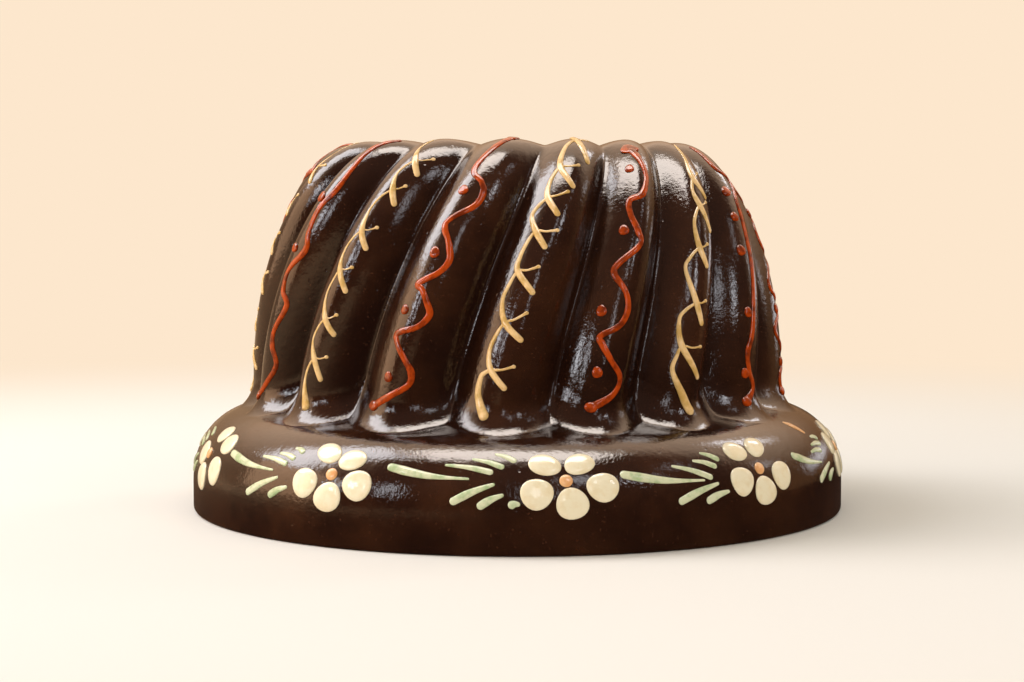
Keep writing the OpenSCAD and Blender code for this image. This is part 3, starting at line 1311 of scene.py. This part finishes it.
# Angles from the flower on the left, for a gap of 36 degrees
PLAIN_LEAVES = LeafSpray(
    long=(((9.4, 16.2), (23.3, 19.7)),),
    upper=(((18.6, 15.0), (26.5, 17.6)), ((22.9, 13.3), (28.2, 15.4)), ((26.4, 10.8), (30.1, 13.0))),
    lower=(((18.9, 27.2), (26.4, 21.3)), ((24.2, 27.7), (28.4, 24.2))),
)


@dataclass
class SlipDecoration:
    """All the slip on the mould, gathered into one piece for each colour."""

    shape: MouldShape
    seed: int = 17
    flowers: int = 10
    first_lobe: int = -5
    swap_after: int = 2
    plain_gap: float = 36.0
    petal_ring: Span = (10.2, -6.9)
    first_petal: float = 18.0
    petal_play: float = 20.0
    smear: Places = ((60.9, 2.7), (63.9, 10.1))
    smear_widths: Widths = (1.2, 3.2, 2.4, 1.0)

    def build(self) -> list[bpy.types.Object]:
        """Trails every lobe and the flange.

        Returns:
            The pieces.
        """
        rng = np.random.default_rng(self.seed)
        parts: dict[SlipColour, list[Patch]] = {colour: [] for colour in SlipColour}
        self.trail_lobes(LobeTrailing(self.shape, rng), parts)
        self.trail_flange(FlangeTrailing(self.shape, rng), parts)
        pieces = []
        for colour, patches in parts.items():
            slip = SLIPS[colour]
            piece = make_piece(colour.value, Patch.join(patches), slip.build())
            pieces.append(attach(piece, "root"))
        return pieces

    def trail_lobes(self, lobes: LobeTrailing, parts: dict[SlipColour, list[Patch]]) -> None:
        """Trails vines and waves in turn.

        As the lobes are odd in number, the two change places once, which leaves two waves side by side
        on the right.

        Args:
            lobes: draws on the lobes.
            parts: patches so far by colour.
        """
        for lobe in range(self.first_lobe, self.first_lobe + self.shape.flutes):
            if lobe % 2 == (0 if lobe > self.swap_after else 1):
                parts[SlipColour.VINE] += lobes.vine(lobe, FRONT_VINES.get(lobe) or lobes.plain_vine())
            else:
                parts[SlipColour.RED] += lobes.wave(lobe, FRONT_WAVES.get(lobe) or lobes.plain_wave())

    def trail_flange(self, flange: FlangeTrailing, parts: dict[SlipColour, list[Patch]]) -> None:
        """Trails the flowers and the leaves between them, and one smear where the slip was touched.

        Args:
            flange: draws on the flange.
            parts: patches so far by colour.
        """
        angles = sorted(FRONT_FLOWERS)
        angles += np.linspace(angles[-1], angles[0] + 360, self.flowers - len(angles) + 2)[1:-1].tolist()
        for angle, after in zip(angles, (*angles[1:], angles[0] + 360)):
            petals, dot = flange.flower(angle, FRONT_FLOWERS.get(angle) or self.plain_petals(flange.rng))
            parts[SlipColour.PETAL] += petals
            parts[SlipColour.ORANGE].append(dot)
            plain = PLAIN_LEAVES.moved(angle, (after - angle) / self.plain_gap, flange.rng)
            parts[SlipColour.GREEN] += flange.leaves(FRONT_LEAVES.get(angle) or plain)
        parts[SlipColour.ORANGE].append(flange.stroke(self.smear, 0.0, self.smear_widths, rise=0.3))

    def plain_petals(self, rng: np.random.Generator) -> Places:
        """Petal middles for a flower away from the front: five on an ellipse, turned a little at random.

        Args:
            rng: gives the turn.

        Returns:
            Millimetres across and down from the flower's middle.
        """
        turn = rng.uniform(-self.petal_play, self.petal_play)
        a = np.radians(turn + 72 * np.arange(5) + self.first_petal)
        return (np.stack([np.cos(a), np.sin(a)], axis=-1) * self.petal_ring).tolist()


# Stage, lamps and camera


@dataclass(frozen=True)
class Lamp:
    """A pane of light that faces the mould.

    The azimuth is measured from the front, positive to the right. Width and height are degrees as seen
    from the mould, and the radiance is that of its face, where 1 is white. A lamp that does not light
    shows in the glaze only. The distance is in metres.
    """

    azimuth: float
    elevation: float
    width: float
    height: float
    radiance: float
    colour: str = "#f6f8ff"
    distance: float = 1.3
    aim_z: float = 0.07
    lights: bool = True

    def build(self, name: str) -> None:
        """Adds the lamp; its power is radiance times pi times its area, as an even lamp gives.

        Args:
            name: name of the lamp.
        """
        data = bpy.data.lights.new(name, "AREA")
        data.shape = "RECTANGLE"
        halves = (math.radians(degrees) / 2 for degrees in (self.width, self.height))
        data.size, data.size_y = (2 * self.distance * math.tan(half) for half in halves)
        data.energy = self.radiance * math.pi * data.size * data.size_y
        data.color = to_linear(self.colour)[:3]
        a, e = math.radians(self.azimuth), math.radians(self.elevation)
        way = Vector((math.sin(a) * math.cos(e), -math.cos(a) * math.cos(e), math.sin(e)))
        lamp = bpy.data.objects.new(name, data)
        lamp.location = Vector((0, 0, self.aim_z)) + way * self.distance
        lamp.rotation_euler = way.to_track_quat("Z", "Y").to_euler()
        lamp.visible_camera = False
        lamp.visible_diffuse = self.lights
        bpy.context.scene.collection.objects.link(lamp)


LAMPS = {
    "skylight": Lamp(-10, 83, 42, 22, 10.0, "#fff4ec", lights=False),
    "window_left": Lamp(-97, 46, 24, 38, 7.5),
    "sill_left": Lamp(-86, 13, 36, 26, 2.2, "#ffcda2"),
    "window_front_left": Lamp(-44, 18, 4, 13, 7.5),
    "pane_low_left": Lamp(-60, 19, 8, 9, 9.0),
    "window_right": Lamp(127, 40, 7, 14, 7.0),
    "pane_right": Lamp(46, 32, 6, 7, 9.0),
    "pane_front": Lamp(6, 22, 6, 16, 3.5),
    "pane_front_right": Lamp(23, 37, 6, 8, 5.0),
    "pane_high_right": Lamp(68, 42, 2.5, 6, 5.0),
    "pane_far_right": Lamp(100, 22, 2.5, 7, 5.0),
    "pane_low_right": Lamp(130, 6, 24, 6, 1.8),
}


@dataclass
class Studio:
    """Pale floor, a soft room, lamps and the camera at the photo's angle, in metres."""

    background: str = "#fde7cd"
    board: str = "#f3ede4"
    table_left: str = "#e0bb92"
    table_right: str = "#382821"
    floor_half: float = 4.0
    fade_span: Span = (0.22, 0.75)
    table_span: Span = (-0.45, -0.05)
    wall_left: str = "#e6b98e"
    wall_right: str = "#bc8a60"
    wall_lit: str = "#ffd9b8"
    ceiling: str = "#ffe4cb"
    dim: str = "#5a4136"
    dim_way: tuple[float, float, float] = (0.2, -0.965, 0.17)
    wall_span: Span = (-0.5, 0.5)
    lit_span: Span = (0.1, 0.7)
    dim_span: Span = (-0.05, 0.32)
    ceiling_span: Span = (0.92, 0.98)
    gleam_span: Span = (0.1, 0.75)
    level: float = 0.66
    gleam: float = 2.5
    soft: str = "#f6eee0"
    focal_px: float = 1947.0
    frame_px: int = 1024
    pitch: float = 3.82
    camera_at: tuple[float, float, float] = (-0.00187, -0.696, 0.1042)

    def build(self) -> None:
        """Sets up the floor, the world, the lamps and the camera."""
        self.floor()
        self.world()
        for name, lamp in LAMPS.items():
            lamp.build(name)
        self.camera()
        bpy.context.scene.view_settings.view_transform = "Standard"

    def floor(self) -> None:
        """A wide plain floor that fades into the background's colour away from the mould.

        In the glaze's mirror it is a dark table, paler towards the window on the left.
        """
        material, tree, place = new_material("limewashed board")
        far = add_node(tree, "VectorMath", {0: place}, operation="LENGTH").outputs["Value"]
        fade = add_node(tree, "MapRange", ramp(far, self.fade_span), **SMOOTH)
        plain = add_node(tree, "BsdfDiffuse", {"Color": self.board}).outputs[0]
        glow = add_node(tree, "Emission", {"Color": self.background}).outputs[0]
        seen = add_node(tree, "MixShader", {0: fade.outputs["Result"], 1: plain, 2: glow}).outputs[0]
        across = add_node(tree, "SeparateXYZ", {0: place}).outputs[0]
        table = blended(tree, across, self.table_span, self.table_left, self.table_right)
        dark = add_node(tree, "Emission", {"Color": table}).outputs[0]
        path = add_node(tree, "LightPath").outputs["Is Glossy Ray"]
        mix = add_node(tree, "MixShader", {0: path, 1: seen, 2: dark}).outputs[0]
        add_node(tree, "OutputMaterial", {"Surface": mix})
        mesh = bpy.data.meshes.new("floor")
        ends = (-self.floor_half, self.floor_half)
        mesh.from_pydata([(x, y, 0) for y in ends for x in ends], [], [(0, 1, 3, 2)])
        mesh.materials.append(material)
        floor = bpy.data.objects.new("floor", mesh)
        bpy.context.scene.collection.objects.link(floor)

    def world(self) -> None:
        """The background's colour for the camera, and a soft room for all other light.

        The room is dim in front, a cream wall behind on the left, a greyer one behind on the right, and
        has a pale ceiling: each is a soft step along one axis of the ray's direction. In the glaze it
        gleams more towards its ceiling.
        """
        world = bpy.data.worlds.new("soft room")
        bpy.context.scene.world = world
        world.use_nodes = True
        tree = world.node_tree
        tree.nodes.clear()
        way = add_node(tree, "TexCoord").outputs["Generated"]
        x, _, z = add_node(tree, "SeparateXYZ", {0: way}).outputs
        ahead = add_node(tree, "VectorMath", {0: way, 1: self.dim_way}, operation="DOT_PRODUCT")
        rays = add_node(tree, "LightPath").outputs
        wall = blended(tree, x, self.wall_span, self.wall_left, self.wall_right)
        lit = blended(tree, z, self.lit_span, wall, self.wall_lit)
        room = blended(tree, ahead.outputs["Value"], self.dim_span, lit, self.dim)
        sky = blended(tree, z, self.ceiling_span, room, self.ceiling)
        inputs = {"Factor": rays["Is Glossy Ray"], "A": self.soft, "B": sky}
        shown = add_node(tree, "Mix", inputs, data_type="RGBA").outputs["Result"]
        high = add_node(tree, "MapRange", ramp(z, self.gleam_span), **SMOOTH)
        inputs = {0: rays["Is Glossy Ray"], 1: high.outputs["Result"]}
        gleam = add_node(tree, "Math", inputs, operation="MULTIPLY").outputs[0]
        inputs = {"Value": gleam, "To Min": self.level, "To Max": self.gleam}
        strength = add_node(tree, "MapRange", inputs).outputs["Result"]
        fill = add_node(tree, "Background", {"Color": shown, "Strength": strength}).outputs[0]
        seen = add_node(tree, "Background", {"Color": self.background}).outputs[0]
        mix = add_node(tree, "MixShader", {0: rays["Is Camera Ray"], 1: fill, 2: seen}).outputs[0]
        add_node(tree, "OutputWorld", {"Surface": mix})

    def camera(self) -> None:
        """The camera that the photo was taken with, as fitted from the mould's own outline."""
        data = bpy.data.cameras.new("camera")
        data.sensor_width = 36.0
        data.lens = self.focal_px / self.frame_px * data.sensor_width
        data.clip_start = 0.01
        camera = bpy.data.objects.new("camera", data)
        camera.location = self.camera_at
        camera.rotation_euler = (math.radians(90 - self.pitch), 0, 0)
        bpy.context.scene.collection.objects.link(camera)
        bpy.context.scene.camera = camera


def main() -> None:
    """Builds the mould, its slip decoration and the studio, and logs each piece's face count."""
    logging.basicConfig(level=logging.INFO, format="%(name)s: %(message)s")
    shape = MouldShape()
    pieces = [FiredBody(shape).build(), *SlipDecoration(shape).build()]
    for piece in pieces:
        LOG.info("%s: %d faces", piece.name, len(piece.data.polygons))
    Studio().build()


if __name__ == "__main__":
    main()
